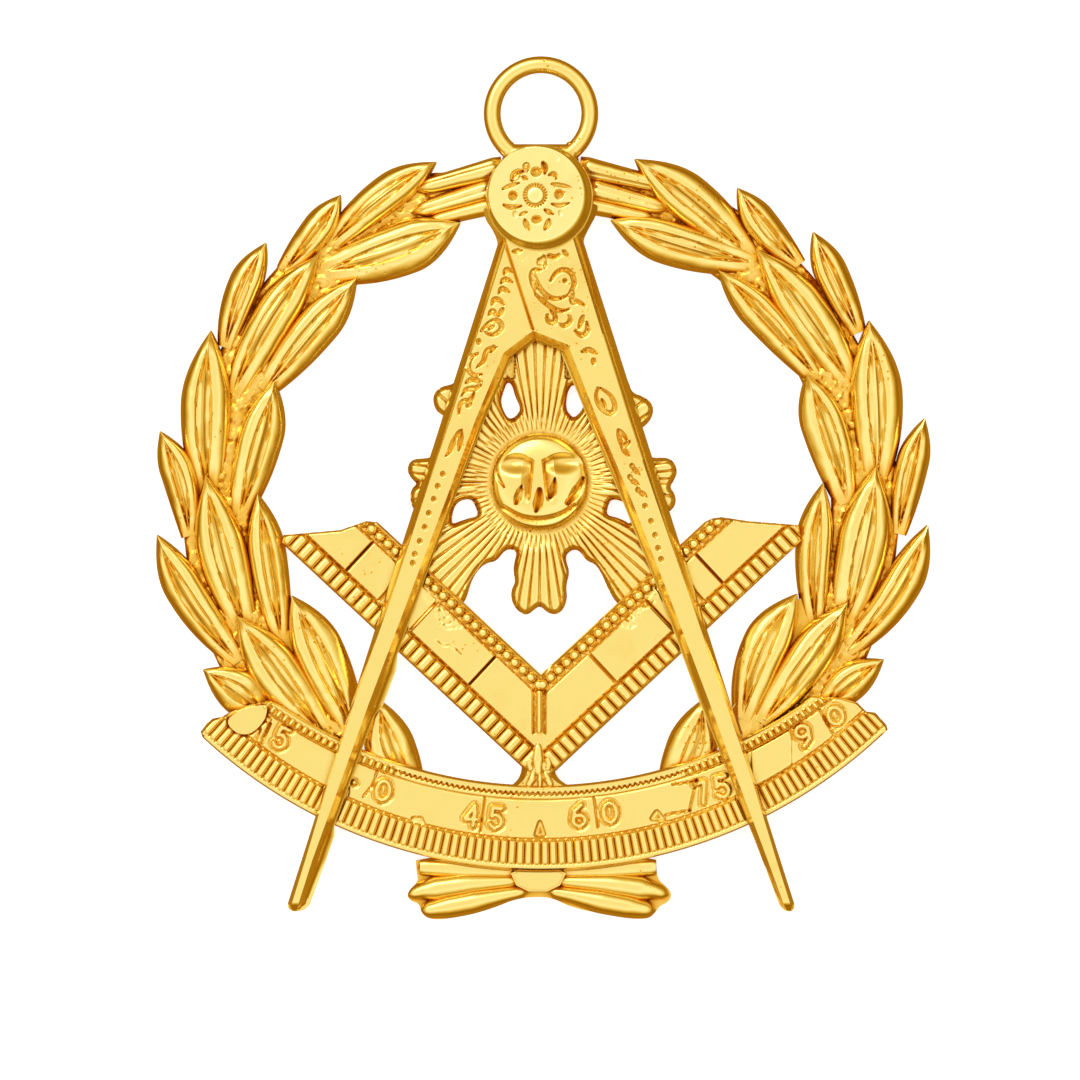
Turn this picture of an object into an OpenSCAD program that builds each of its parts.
// Collar jewel: compasses over a quadrant and a square, a sun in splendour between the legs,
// the whole framed by a laurel wreath that is tied with a bow.
// It lies on its back. The origin is the centre of the hanging ring's eye, in the back plane;
// +Z is the face, +Y is up as it hangs.

/* [Hanging ring] */
// Clear width of the eye that takes the collar's hook
eye_d = 8.1; // [7:0.1:9]
// Thickness of the ring's round wire
ring_wire = 1.7; // [1.4:0.1:2]
// Drop from the centre of the eye to the flat that closes it
eye_flat_drop = 3.25; // [3:0.05:3.4]
// Width of the two small lugs beside the flat
lug_d = 1.5; // [1:0.1:1.8]

/* [Head] */
// Drop from the centre of the eye to the centre of the head
head_drop = 8.6; // [8:0.1:9.4]
// Width of the round head
head_d = 10.4; // [9.4:0.1:11.2]
// Width of the rosette's face
rosette_d = 9.4; // [8:0.1:10]
// Width of the raised button in the middle of the rosette
button_d = 2.2; // [1.6:0.1:3]
// Width of the four hollows round the button
hollow_d = 1.9; // [1.2:0.1:2.2]

/* [Compasses] */
// Height of the compasses, from the centre of the head to the points
compass_reach = 71.4; // [60:0.1:80]
// Width across the points
compass_span = 51.2; // [40:0.1:60]
// Width across the legs at the centre of the head
shoulder_w = 5.7; // [4:0.1:7]
// Width of a leg's foot where it leaves the head
leg_w = 4.7; // [3.5:0.1:5.5]
// Drop from the centre of the head to the notch between the legs
notch_drop = 13.3; // [10:0.1:16]
// Share of a leg's width that each sloping side takes
leg_draft = 0.2; // [0.1:0.01:0.3]

/* [Sun] */
// Drop from the centre of the eye to the centre of the sun
sun_drop = 37.0; // [35:0.1:39]
// Width of the face
face_d = 9.0; // [7:0.1:10]
// Height of the face's dome
face_dome_h = 1.5; // [1:0.1:2]
// Width of the rim round the face
face_rim = 0.4; // [0.3:0.05:0.6]
// Width of the disc that the rays spring from
burst_d = 15.2; // [13:0.1:17]
// Reach of the longest rays, from the centre of the sun
ray_reach = 13.6; // [12:0.1:15]
// Width of the widest ray at its end
ray_w = 7.4; // [5:0.1:9]

/* [Square] */
// Height of the arms, from the square's corner on the quadrant's upper edge to their tops
arm_rise = 26.4; // [23:0.1:29]
// Width across the ends of the arms
square_span = 51.8; // [46:0.1:56]
// Width of an arm
square_w = 8.1; // [6.5:0.1:9.5]
// Rise of the arms from level, in degrees
square_slope = 43; // [38:0.5:47]
// Width of the ribbed strip along the outer edges
strip_w = 2.1; // [1.5:0.1:2.6]
// Spacing of the ribs on that strip
rib_pitch = 1.09; // [0.8:0.01:1.4]
// Width of a bead on the inner edges
bead_d = 1.0; // [0.7:0.05:1.2]
// Spacing of the beads
bead_pitch = 1.09; // [0.9:0.01:1.4]

/* [Quadrant] */
// Drop from the centre of the eye to the lowest edge of the quadrant
quadrant_drop = 75.9; // [73:0.1:79]
// Width of the quadrant in the middle
quadrant_w = 8.5; // [6:0.1:10]
// Radius of the lower edge
quadrant_low_r = 50; // [44:0.5:56]
// Radius of the upper edge
quadrant_up_r = 46; // [40:0.5:52]
// Width across the ends
quadrant_span = 68.8; // [60:0.1:72]
// Width across the upper edge, between the plain end plates
quadrant_top_span = 52.4; // [46:0.1:54]
// Size of the corner cut off each end
quadrant_nose = 2.2; // [1.5:0.1:3]
// Width of the reeded band along the lower edge
reed_band_w = 2.5; // [1.8:0.1:3]
// Spacing of the reeds
reed_pitch = 0.83; // [0.7:0.01:1.4]

/* [Wreath] */
// Rise of the branches' middle line over the centre of the head
branch_rise = 0.9; // [0.4:0.1:1.4]
// Rise of the stem's lower edge over the lowest edge of the quadrant
stem_cover = 1.8; // [1.2:0.1:2.4]
// Width of the stem where it runs behind the quadrant
stem_w = 4.8; // [3.5:0.1:6]
// Width of the stem under the leaves, as a share of the branches' radius
bed_share = 0.219; // [0.19:0.001:0.25]
// Height of the stem
stem_h = 0.95; // [0.7:0.05:1.2]
// Height of the leaves
leaf_h = 2.35; // [1.8:0.05:2.6]

/* [Bow] */
// Width across the loops
bow_span = 26.5; // [22:0.1:32]
// Drop from the quadrant's lowest edge to the lowest point of the bow
bow_drop = 5.0; // [4:0.1:7]
// Width of the knot at its top
knot_w = 5.0; // [4:0.1:6]
// Height of the bow's folds
bow_h = 2.2; // [1.6:0.1:2.6]

/* [Layers] */
// Height of a piece where another lies over it
low_h = 1.2; // [1:0.05:1.5]
// Thickness of the quadrant and the square
mid_h = 1.2; // [1:0.05:1.6]
// Thickness of the compasses
top_h = 1.4; // [1:0.05:2]
// Height of the rosette over the head
rosette_h = 0.95; // [0.6:0.05:1.4]
// Gap left between two pieces
gap = 0.05; // [0.03:0.01:0.1]

/* [Hidden] */
$fn = 64;

gold = "#f3cf63";
deep_gold = "#e0b545";
slice = 0.01;
tall = 20;

sunk = 0.25 * mid_h;
ring_r = eye_d / 2 + ring_wire / 2;
z_mid = low_h + gap;
z_top = z_mid + mid_h + gap;
z_rosette = z_top + top_h + gap;
burst_h = z_mid + 0.5 * mid_h;

square_drop = quadrant_drop - quadrant_w;
square_top_drop = square_drop - arm_rise;
square_y = -square_drop;
quadrant_low_y = -quadrant_drop + quadrant_low_r;
quadrant_up_y = -quadrant_drop + quadrant_w + quadrant_up_r;

// The branches' middle line runs from over the head to behind the quadrant
wreath_top = head_drop - branch_rise;
wreath_low = quadrant_drop - stem_cover - stem_w / 2;
wreath_r = (wreath_low - wreath_top) / 2;
wreath_drop = wreath_top + wreath_r;

// How far down a leg, as a share of the compasses' height, and its width there, as a share of leg_w
LEG = [[0.21, 1.00], [0.28, 1.12], [0.45, 0.91], [0.68, 0.68], [0.93, 0.47], [1.00, 0.46]];

// Along a leaf from its foot to its tip, half its width and its height, as shares
LEAF = [[0.00, 0.46, 0.46], [0.24, 0.88, 0.82], [0.52, 1.04, 1.00], [0.80, 0.80, 0.84], [1.00, 0.14, 0.36]];

// Leaves of one branch: angle from the top and share of wreath_r for the tip and for the foot,
// then the width as a share of wreath_r
LEAVES = [
    [6.8, 1.05, 21.6, 1.07, 0.085],
    [7.3, 0.98, 22.3, 1.00, 0.085],
    [15.8, 1.13, 38.3, 1.05, 0.145],
    [14.2, 0.93, 39.7, 0.97, 0.138],
    [32.1, 1.16, 46.6, 1.11, 0.119],
    [45.4, 1.19, 61.7, 1.13, 0.135],
    [40.7, 1.05, 67.0, 1.05, 0.156],
    [37.6, 0.94, 68.5, 0.97, 0.144],
    [61.1, 1.18, 84.0, 1.08, 0.156],
    [63.9, 0.93, 88.3, 0.95, 0.144],
    [77.8, 1.21, 94.2, 1.11, 0.138],
    [83.5, 1.05, 108.9, 0.99, 0.156],
    [85.7, 0.90, 113.8, 0.92, 0.138],
    [93.1, 1.20, 116.7, 1.05, 0.150],
    [107.3, 1.01, 134.7, 0.95, 0.150],
    [108.5, 0.86, 136.9, 0.88, 0.144],
    [115.0, 1.17, 126.0, 1.07, 0.106],
    [140.3, 0.80, 157.0, 0.94, 0.130]
];

// Along a ray: how far out, half its width there and its height, as shares
RAY = [[0.00, 0.62, 0.8], [0.80, 1.00, 1.0], [1.00, 0.92, 0.72]];

// Rays: angle, reach as a share of ray_reach, width at the end as a share of ray_w, ribs
RAYS = [
    [90, 1.12, 0.76, 6],
    [54, 0.74, 0.55, 4],
    [36, 1.01, 0.46, 3],
    [6, 1.03, 0.44, 3],
    [-8, 1.01, 0.44, 3],
    [-43, 1.12, 0.92, 7],
    [-90, 1.01, 0.84, 6],
    [-137, 1.12, 0.92, 7],
    [188, 1.01, 0.44, 3],
    [174, 1.03, 0.44, 3],
    [144, 1.01, 0.46, 3],
    [126, 0.74, 0.55, 4]
];

// Solid round a cloud of points
module wrap(points) {
    hull() polyhedron(points = points, faces = [[for (i = [0:len(points) - 1]) i]]);
}

// Closed solid between a grid of top points and the back plane, its rows running across
module relief(rows) {
    nx = len(rows[0]);
    ny = len(rows);
    top = [for (row = rows) each row];
    floor_points = [for (p = top) [p[0], p[1], 0]];
    rim = concat([for (i = [0:nx - 1]) i], [for (j = [1:ny - 1]) j * nx + nx - 1],
        [for (i = [nx - 2:-1:0]) (ny - 1) * nx + i], [for (j = [ny - 2:-1:1]) j * nx]);
    n = len(rim);
    polyhedron(points = concat(top, floor_points), faces = concat(
        [for (j = [0:ny - 2], i = [0:nx - 2]) each [
            [j * nx + i, (j + 1) * nx + i, j * nx + i + 1],
            [j * nx + i + 1, (j + 1) * nx + i, (j + 1) * nx + i + 1]]],
        [for (k = [0:n - 1]) each [
            [rim[k], rim[(k + 1) % n], rim[(k + 1) % n] + nx * ny],
            [rim[k], rim[(k + 1) % n] + nx * ny, rim[k] + nx * ny]]],
        [[for (k = [n - 1:-1:0]) rim[k] + nx * ny]]
    ));
}

// Room above height z, over a plan, for the piece that lies there
module seat(z) {
    translate([0, 0, z]) linear_extrude(tall) offset(delta = gap) children();
}

module both_sides() {
    children();
    mirror([1, 0, 0]) children();
}

// Plans of the pieces that others are cut back for
function leg_y(down) = -head_drop - compass_reach * down;
function leg_outer(down) = shoulder_w / 2 + (compass_span - shoulder_w) / 2 * down;
function leg_base(row) = [
    [leg_outer(row[0]), leg_y(row[0])],
    [leg_outer(row[0]) - leg_w * row[1], leg_y(row[0])]
];
function leg_face(row) = [
    [leg_outer(row[0]) - leg_w * row[1] * leg_draft, leg_y(row[0])],
    [leg_outer(row[0]) - leg_w * row[1] * (1 - leg_draft), leg_y(row[0])]
];
function flat_points(points, z) = [for (p = points) [p[0], p[1], z]];

module leg_half_plan() {
    head_line = [[0, leg_y(0)], [leg_outer(0), leg_y(0)]];
    outer = [for (row = LEG) leg_base(row)[0]];
    inner = [for (i = [len(LEG) - 1:-1:0]) leg_base(LEG[i])[1]];
    polygon(concat(head_line, outer, inner, [[0, -head_drop - notch_drop]]));
}

module compasses_plan() {
    both_sides() leg_half_plan();
    translate([0, -head_drop]) circle(d = head_d);
}

function arm_point(along, across) = [
    along * cos(square_slope) - across * sin(square_slope),
    square_y + along * sin(square_slope) + across * cos(square_slope)
];
function arm_start(across) = across * tan(square_slope);
function arm_end(across) = (-square_top_drop - square_y - across * cos(square_slope)) / sin(square_slope);

module arm_plan() {
    side_along = square_span / 2 / cos(square_slope);
    polygon([
        arm_point(0, 0),
        arm_point(side_along, 0),
        [square_span / 2, -square_top_drop],
        arm_point(arm_end(square_w), square_w),
        arm_point(arm_start(square_w), square_w)
    ]);
}

module square_plan() {
    both_sides() arm_plan();
}

module quadrant_ends() {
    half = quadrant_span / 2;
    half_top = quadrant_top_span / 2;
    end_y = quadrant_low_y - sqrt(pow(quadrant_low_r, 2) - pow(half, 2));
    top_y = quadrant_up_y - sqrt(pow(quadrant_up_r, 2) - pow(half_top, 2));
    corner = [half_top, top_y];
    nose = [half - quadrant_nose, end_y + quadrant_nose];
    right = [corner + 0.3 * (corner - nose), nose, [half, end_y], [half, -2 * square_drop]];
    polygon(concat(right, [for (i = [3:-1:0]) [-right[i][0], right[i][1]]]));
}

module quadrant_plan() {
    intersection() {
        difference() {
            translate([0, quadrant_low_y]) circle(r = quadrant_low_r, $fn = 160);
            translate([0, quadrant_up_y]) circle(r = quadrant_up_r, $fn = 160);
        }
        quadrant_ends();
    }
}

// Hanging ring, soldered to the plate that backs the head
module hanging_ring() {
    lug_y = -eye_flat_drop - lug_d / 3;
    lug_x = sqrt(pow(ring_r, 2) - pow(lug_y, 2));
    color(gold) {
        translate([0, 0, ring_wire / 2]) rotate_extrude()
            translate([ring_r, 0]) circle(d = ring_wire, $fn = 32);
        translate([0, -head_drop, 0]) cylinder(h = z_mid + mid_h, d = head_d);
        intersection() {
            cylinder(h = ring_wire, r = ring_r);
            translate([-eye_d, -2 * eye_d, 0]) cube([2 * eye_d, 2 * eye_d - eye_flat_drop, ring_wire]);
        }
        for (side = [-1, 1]) translate([side * lug_x, lug_y, ring_wire - lug_d / 4]) sphere(d = lug_d);
    }
}

// Half of a leaf, crowned along its middle so that two halves leave a split vein between them
module leaf_half(length, width, height) {
    vein = 0.03;
    wrap([for (row = LEAF) let (x = row[0] * length, w = row[1] * width / 2, h = row[2] * height)
        each [[x, -vein, 0], [x, w, 0], [x, 0.94 * w, 0.45 * h], [x, 0.5 * w, h], [x, -vein, 0.7 * h]]]);
}

module leaf(row) {
    tip = wreath_r * row[1] * [sin(row[0]), cos(row[0])];
    foot = wreath_r * row[3] * [sin(row[2]), cos(row[2])];
    run = tip - foot;
    translate([foot[0], foot[1] - wreath_drop, 0]) rotate(atan2(run[1], run[0])) {
        leaf_half(norm(run), row[4] * wreath_r, leaf_h);
        mirror([0, 1, 0]) leaf_half(norm(run), row[4] * wreath_r, leaf_h);
    }
}

// A ring about the wreath's centre
module hoop_plan(middle, width) {
    translate([0, -wreath_drop]) difference() {
        circle(r = middle + width / 2, $fn = 72);
        circle(r = middle - width / 2, $fn = 72);
    }
}

// The stem: a full hoop, broader where leaves cover it
module stem_plan() {
    leaf_top = -head_drop + 0.33 * head_d;
    leaf_foot = -0.78 * quadrant_drop;
    hoop_plan(wreath_r, stem_w);
    intersection() {
        hoop_plan(1.026 * wreath_r, bed_share * wreath_r);
        translate([-2 * wreath_r, leaf_foot]) square([4 * wreath_r, leaf_top - leaf_foot]);
    }
}

// Two laurel branches whose stems meet behind the quadrant
module wreath() {
    color(gold) difference() {
        union() {
            linear_extrude(stem_h) stem_plan();
            both_sides() for (row = LEAVES) leaf(row);
        }
        seat(-slice) {
            translate([0, -head_drop]) circle(d = head_d);
            circle(r = ring_r + ring_wire / 2);
        }
        seat(low_h) {
            square_plan();
            quadrant_plan();
        }
        seat(z_top - gap) compasses_plan();
    }
}

// A fold of ribbon between two points of the bow, round at its outer end
module fold(from, to, w0, w1, height) {
    hull() {
        translate(from) cylinder(h = 0.6 * height, d = w0, $fn = 14);
        translate(from) cylinder(h = height, d = 0.35 * w0, $fn = 6);
        translate(to) cylinder(h = 0.5 * height, d = w1, $fn = 14);
        translate(to) cylinder(h = 0.9 * height, d = 0.35 * w1, $fn = 6);
    }
}

// Ribbon bow under the middle of the quadrant
module bow() {
    half = bow_span / 2;
    tuck = 0.22 * bow_drop;
    top_y = -quadrant_drop + tuck;
    low_y = -quadrant_drop - bow_drop;
    fall = top_y - low_y;
    knot_y = top_y - 0.45 * fall;
    fold_w = 0.37 * fall;
    color(deep_gold) difference() {
        union() {
            both_sides() {
                fold([0, top_y - fold_w / 2], [0.86 * half, top_y - 0.35 * fold_w], fold_w, fold_w,
                    0.65 * bow_h);
                fold([0, knot_y], [0.93 * half, knot_y - 0.15 * fold_w], fold_w, 0.95 * fold_w, bow_h);
                fold([0, knot_y - 0.1 * fold_w], [0.84 * half, low_y + fold_w / 2], fold_w, fold_w,
                    0.9 * bow_h);
                fold([0.7 * half, knot_y], [0.86 * half, low_y + 0.8 * fold_w], fold_w, fold_w,
                    0.6 * bow_h);
            }
            hull() {
                translate([-knot_w / 2, top_y - tuck, 0]) cube([knot_w, 2 * tuck, bow_h]);
                translate([-0.3 * knot_w, low_y + 0.36 * fall, 0]) cube([0.6 * knot_w, tuck, bow_h]);
            }
        }
        seat(-slice) translate([0, -wreath_drop]) circle(r = wreath_r + stem_w / 2, $fn = 72);
        seat(low_h) quadrant_plan();
    }
}

// A ray: ridges side by side, with a notch between the ridges at its end
module ray(row) {
    ribs = row[3];
    near = face_d / 2 - face_rim / 2;
    far = row[1] * ray_reach;
    half = row[2] * ray_w / 2;
    valley_drop = 0.22;
    notch = 0.054 * ray_w;
    shoulder = 0.15 * ray_w;
    rotate(row[0]) relief([for (station = RAY) [for (k = [0:2 * ribs])
        let (off = k / ribs - 1, valley = (k + 1) % 2,
            scallop = station[0] * (notch * valley + shoulder * pow(abs(off), 4)))
        [near + (far - near) * station[0] - scallop, off * half * station[1],
            burst_h * station[2] * (1 - valley_drop * valley)]]]);
}

// Rays of the sun, from behind its face out under the legs and the square
module sunburst() {
    short_ribs = 40;
    near = face_d / 2 + face_rim;
    turn = 360 / short_ribs;
    color(deep_gold) difference() {
        translate([0, -sun_drop, 0]) {
            cylinder(h = low_h, d = burst_d, $fn = short_ribs);
            for (k = [0:short_ribs - 1]) rotate((k + 0.5) * turn) translate([near - gap, 0, low_h - sunk])
                ridge(burst_d / 2 - near, 0.8 * turn * PI / 180 * near, burst_h - low_h + sunk);
            for (row = RAYS) ray(row);
            linear_extrude(z_top - gap) intersection() {
                circle(d = 0.98 * burst_d, $fn = 32);
                translate([0, sun_drop]) compasses_plan();
            }
        }
        seat(low_h) {
            translate([0, -sun_drop]) circle(d = face_d + 2 * face_rim);
            square_plan();
        }
    }
}

// Domed face of the sun, with a brow and nose in one T
module sun_face() {
    seat_h = 0.29 * mid_h;
    crown_z = seat_h + face_dome_h;
    dome_r = (pow(face_d / 2, 2) + pow(face_dome_h, 2)) / (2 * face_dome_h);
    dome_d = 0.967 * face_d;
    brow_y = 0.22 * face_d;
    brow_z = crown_z - face_dome_h / 3;
    brow_w = 0.1 * face_d;
    nose_w = 0.16 * face_d;
    socket_w = 0.28 * face_d;
    color(gold) translate([0, -sun_drop, z_mid]) {
        difference() {
            cylinder(h = seat_h + sunk, d = face_d + 2 * face_rim);
            translate([0, 0, seat_h]) cylinder(h = tall, d = face_d);
        }
        difference() {
            intersection() {
                translate([0, 0, crown_z - dome_r]) sphere(r = dome_r, $fn = 96);
                cylinder(h = tall, d = dome_d);
            }
            for (side = [-1, 1]) translate([side * 0.2 * face_d, 0.16 * face_d, crown_z + socket_w / 5])
                sphere(d = socket_w);
        }
        hull() {
            translate([0, brow_y, brow_z]) sphere(d = brow_w, $fn = 10);
            translate([0, -0.2 * face_d, crown_z - 0.3 * face_dome_h]) sphere(d = nose_w, $fn = 10);
        }
        for (side = [-1, 1]) hull() {
            translate([0, brow_y, brow_z]) sphere(d = brow_w, $fn = 10);
            translate([side * 0.3 * face_d, brow_y, crown_z - 0.6 * face_dome_h])
                sphere(d = 0.9 * brow_w, $fn = 10);
        }
    }
}

// A ridge across a strip, flat below and rounded on top
module ridge(length, width, height) {
    wrap([for (x = [0, length]) each [[x, -width / 2, 0], [x, width / 2, 0], [x, 0.28 * width, height],
        [x, -0.28 * width, height]]]);
}

// Quadrant with a raised upper rail, a plain band for the figures and a reeded lower band
module quadrant() {
    plate_h = 0.62 * mid_h;
    rail_w = 0.28 * reed_band_w;
    reed_inset = 0.14 * reed_band_w;
    reed_r = quadrant_low_r - reed_band_w / 2;
    turn = reed_pitch / reed_r * 180 / PI;
    reeds = floor(2 * asin((quadrant_span / 2 - quadrant_nose) / reed_r) / turn);
    color(gold) translate([0, 0, z_mid]) {
        linear_extrude(plate_h) quadrant_plan();
        translate([0, 0, sunk]) linear_extrude(mid_h - sunk) intersection() {
            offset(delta = -gap) quadrant_plan();
            translate([0, quadrant_up_y]) circle(r = quadrant_up_r + rail_w, $fn = 160);
        }
        for (k = [0:reeds - 1])
            translate([0, quadrant_low_y, sunk]) rotate(-90 + (k - (reeds - 1) / 2) * turn)
                translate([quadrant_low_r - reed_band_w, 0, 0])
                    ridge(reed_band_w - reed_inset, 0.92 * reed_pitch, mid_h - sunk);
    }
}

// A raised plate along an arm between two distances from the corner
module arm_plate(from, to, low, high) {
    linear_extrude(0.85 * mid_h) polygon([
        arm_point(from + arm_start(low), low), arm_point(to, low),
        arm_point(to, high), arm_point(from + arm_start(high), high)
    ]);
}

// One arm of the square, from the mitre to its end
module arm() {
    edge = strip_w / 7;
    plate_h = 0.62 * mid_h;
    bead_line = square_w - 0.78 * bead_d;
    rib_start = arm_start(strip_w);
    ribs = floor((square_span / 2 / cos(square_slope) - rib_start - edge) / rib_pitch);
    beads = floor((arm_end(square_w) - arm_start(bead_line)) / bead_pitch);
    plate_in = strip_w + edge;
    plate_out = square_w - 1.5 * bead_d;
    plate_end = arm_end(plate_out) - edge;
    linear_extrude(plate_h) arm_plan();
    arm_plate(edge, 0.55 * plate_end, plate_in, plate_out);
    arm_plate(0.74 * plate_end - arm_start(plate_out), plate_end, plate_in, plate_out);
    translate([0, square_y, 0]) rotate(square_slope) {
        for (k = [0:ribs - 1]) translate([rib_start + (k + 0.5) * rib_pitch, edge, sunk]) rotate(90)
            ridge(strip_w - edge, 0.9 * rib_pitch, mid_h - sunk);
        for (k = [0:beads - 1])
            translate([arm_start(bead_line) + (k + 0.5) * bead_pitch, bead_line, mid_h - bead_d / 2])
                sphere(d = bead_d, $fn = 9);
    }
}

// Square with its corner on the quadrant
module masons_square() {
    pip_w = 0.42 * square_w;
    color(gold) translate([0, 0, z_mid]) difference() {
        union() {
            both_sides() arm();
            translate([0, square_y + pip_w, 0]) rotate(-90) ridge(1.6 * pip_w, pip_w, mid_h);
        }
        translate([0, 0, -z_mid]) seat(z_mid - slice) quadrant_plan();
    }
}

// A length of leg between two rows of the table
module leg_piece(upper, lower) {
    wrap(concat(
        flat_points(concat(leg_base(upper), leg_base(lower)), 0),
        flat_points(concat(leg_face(upper), leg_face(lower)), top_h)
    ));
}

// The plate above the notch that joins a leg to the head
module leg_root() {
    row = LEG[0];
    middle = [[0, leg_y(0)], [0, -head_drop - notch_drop]];
    wrap(concat(
        flat_points(concat(leg_base(row), middle, [[leg_outer(0), leg_y(0)]]), 0),
        flat_points(concat(leg_face(row), middle, [[0.8 * leg_outer(0), leg_y(0)]]), top_h)
    ));
}

// Compasses, legs and head in one
module compasses() {
    color(gold) translate([0, 0, z_top]) {
        both_sides() {
            leg_root();
            for (i = [0:len(LEG) - 2]) leg_piece(LEG[i], LEG[i + 1]);
        }
        translate([0, -head_drop, 0]) cylinder(h = top_h, d = head_d);
    }
}

// Rosette that covers the rivet of the compasses
module rosette() {
    spread = 0.27 * rosette_d;
    button_h = 0.26 * rosette_h;
    color(gold) translate([0, -head_drop, z_rosette]) {
        difference() {
            cylinder(h = rosette_h, d1 = head_d, d2 = rosette_d);
            for (k = [0:3]) rotate(90 * k) translate([spread, 0, rosette_h + 0.15 * hollow_d])
                sphere(d = hollow_d, $fn = 32);
        }
        translate([0, 0, rosette_h - slice])
            cylinder(h = button_h, d1 = button_d, d2 = 0.7 * button_d, $fn = 48);
    }
}

hanging_ring();
wreath();
bow();
sunburst();
sun_face();
quadrant();
masons_square();
compasses();
rosette();
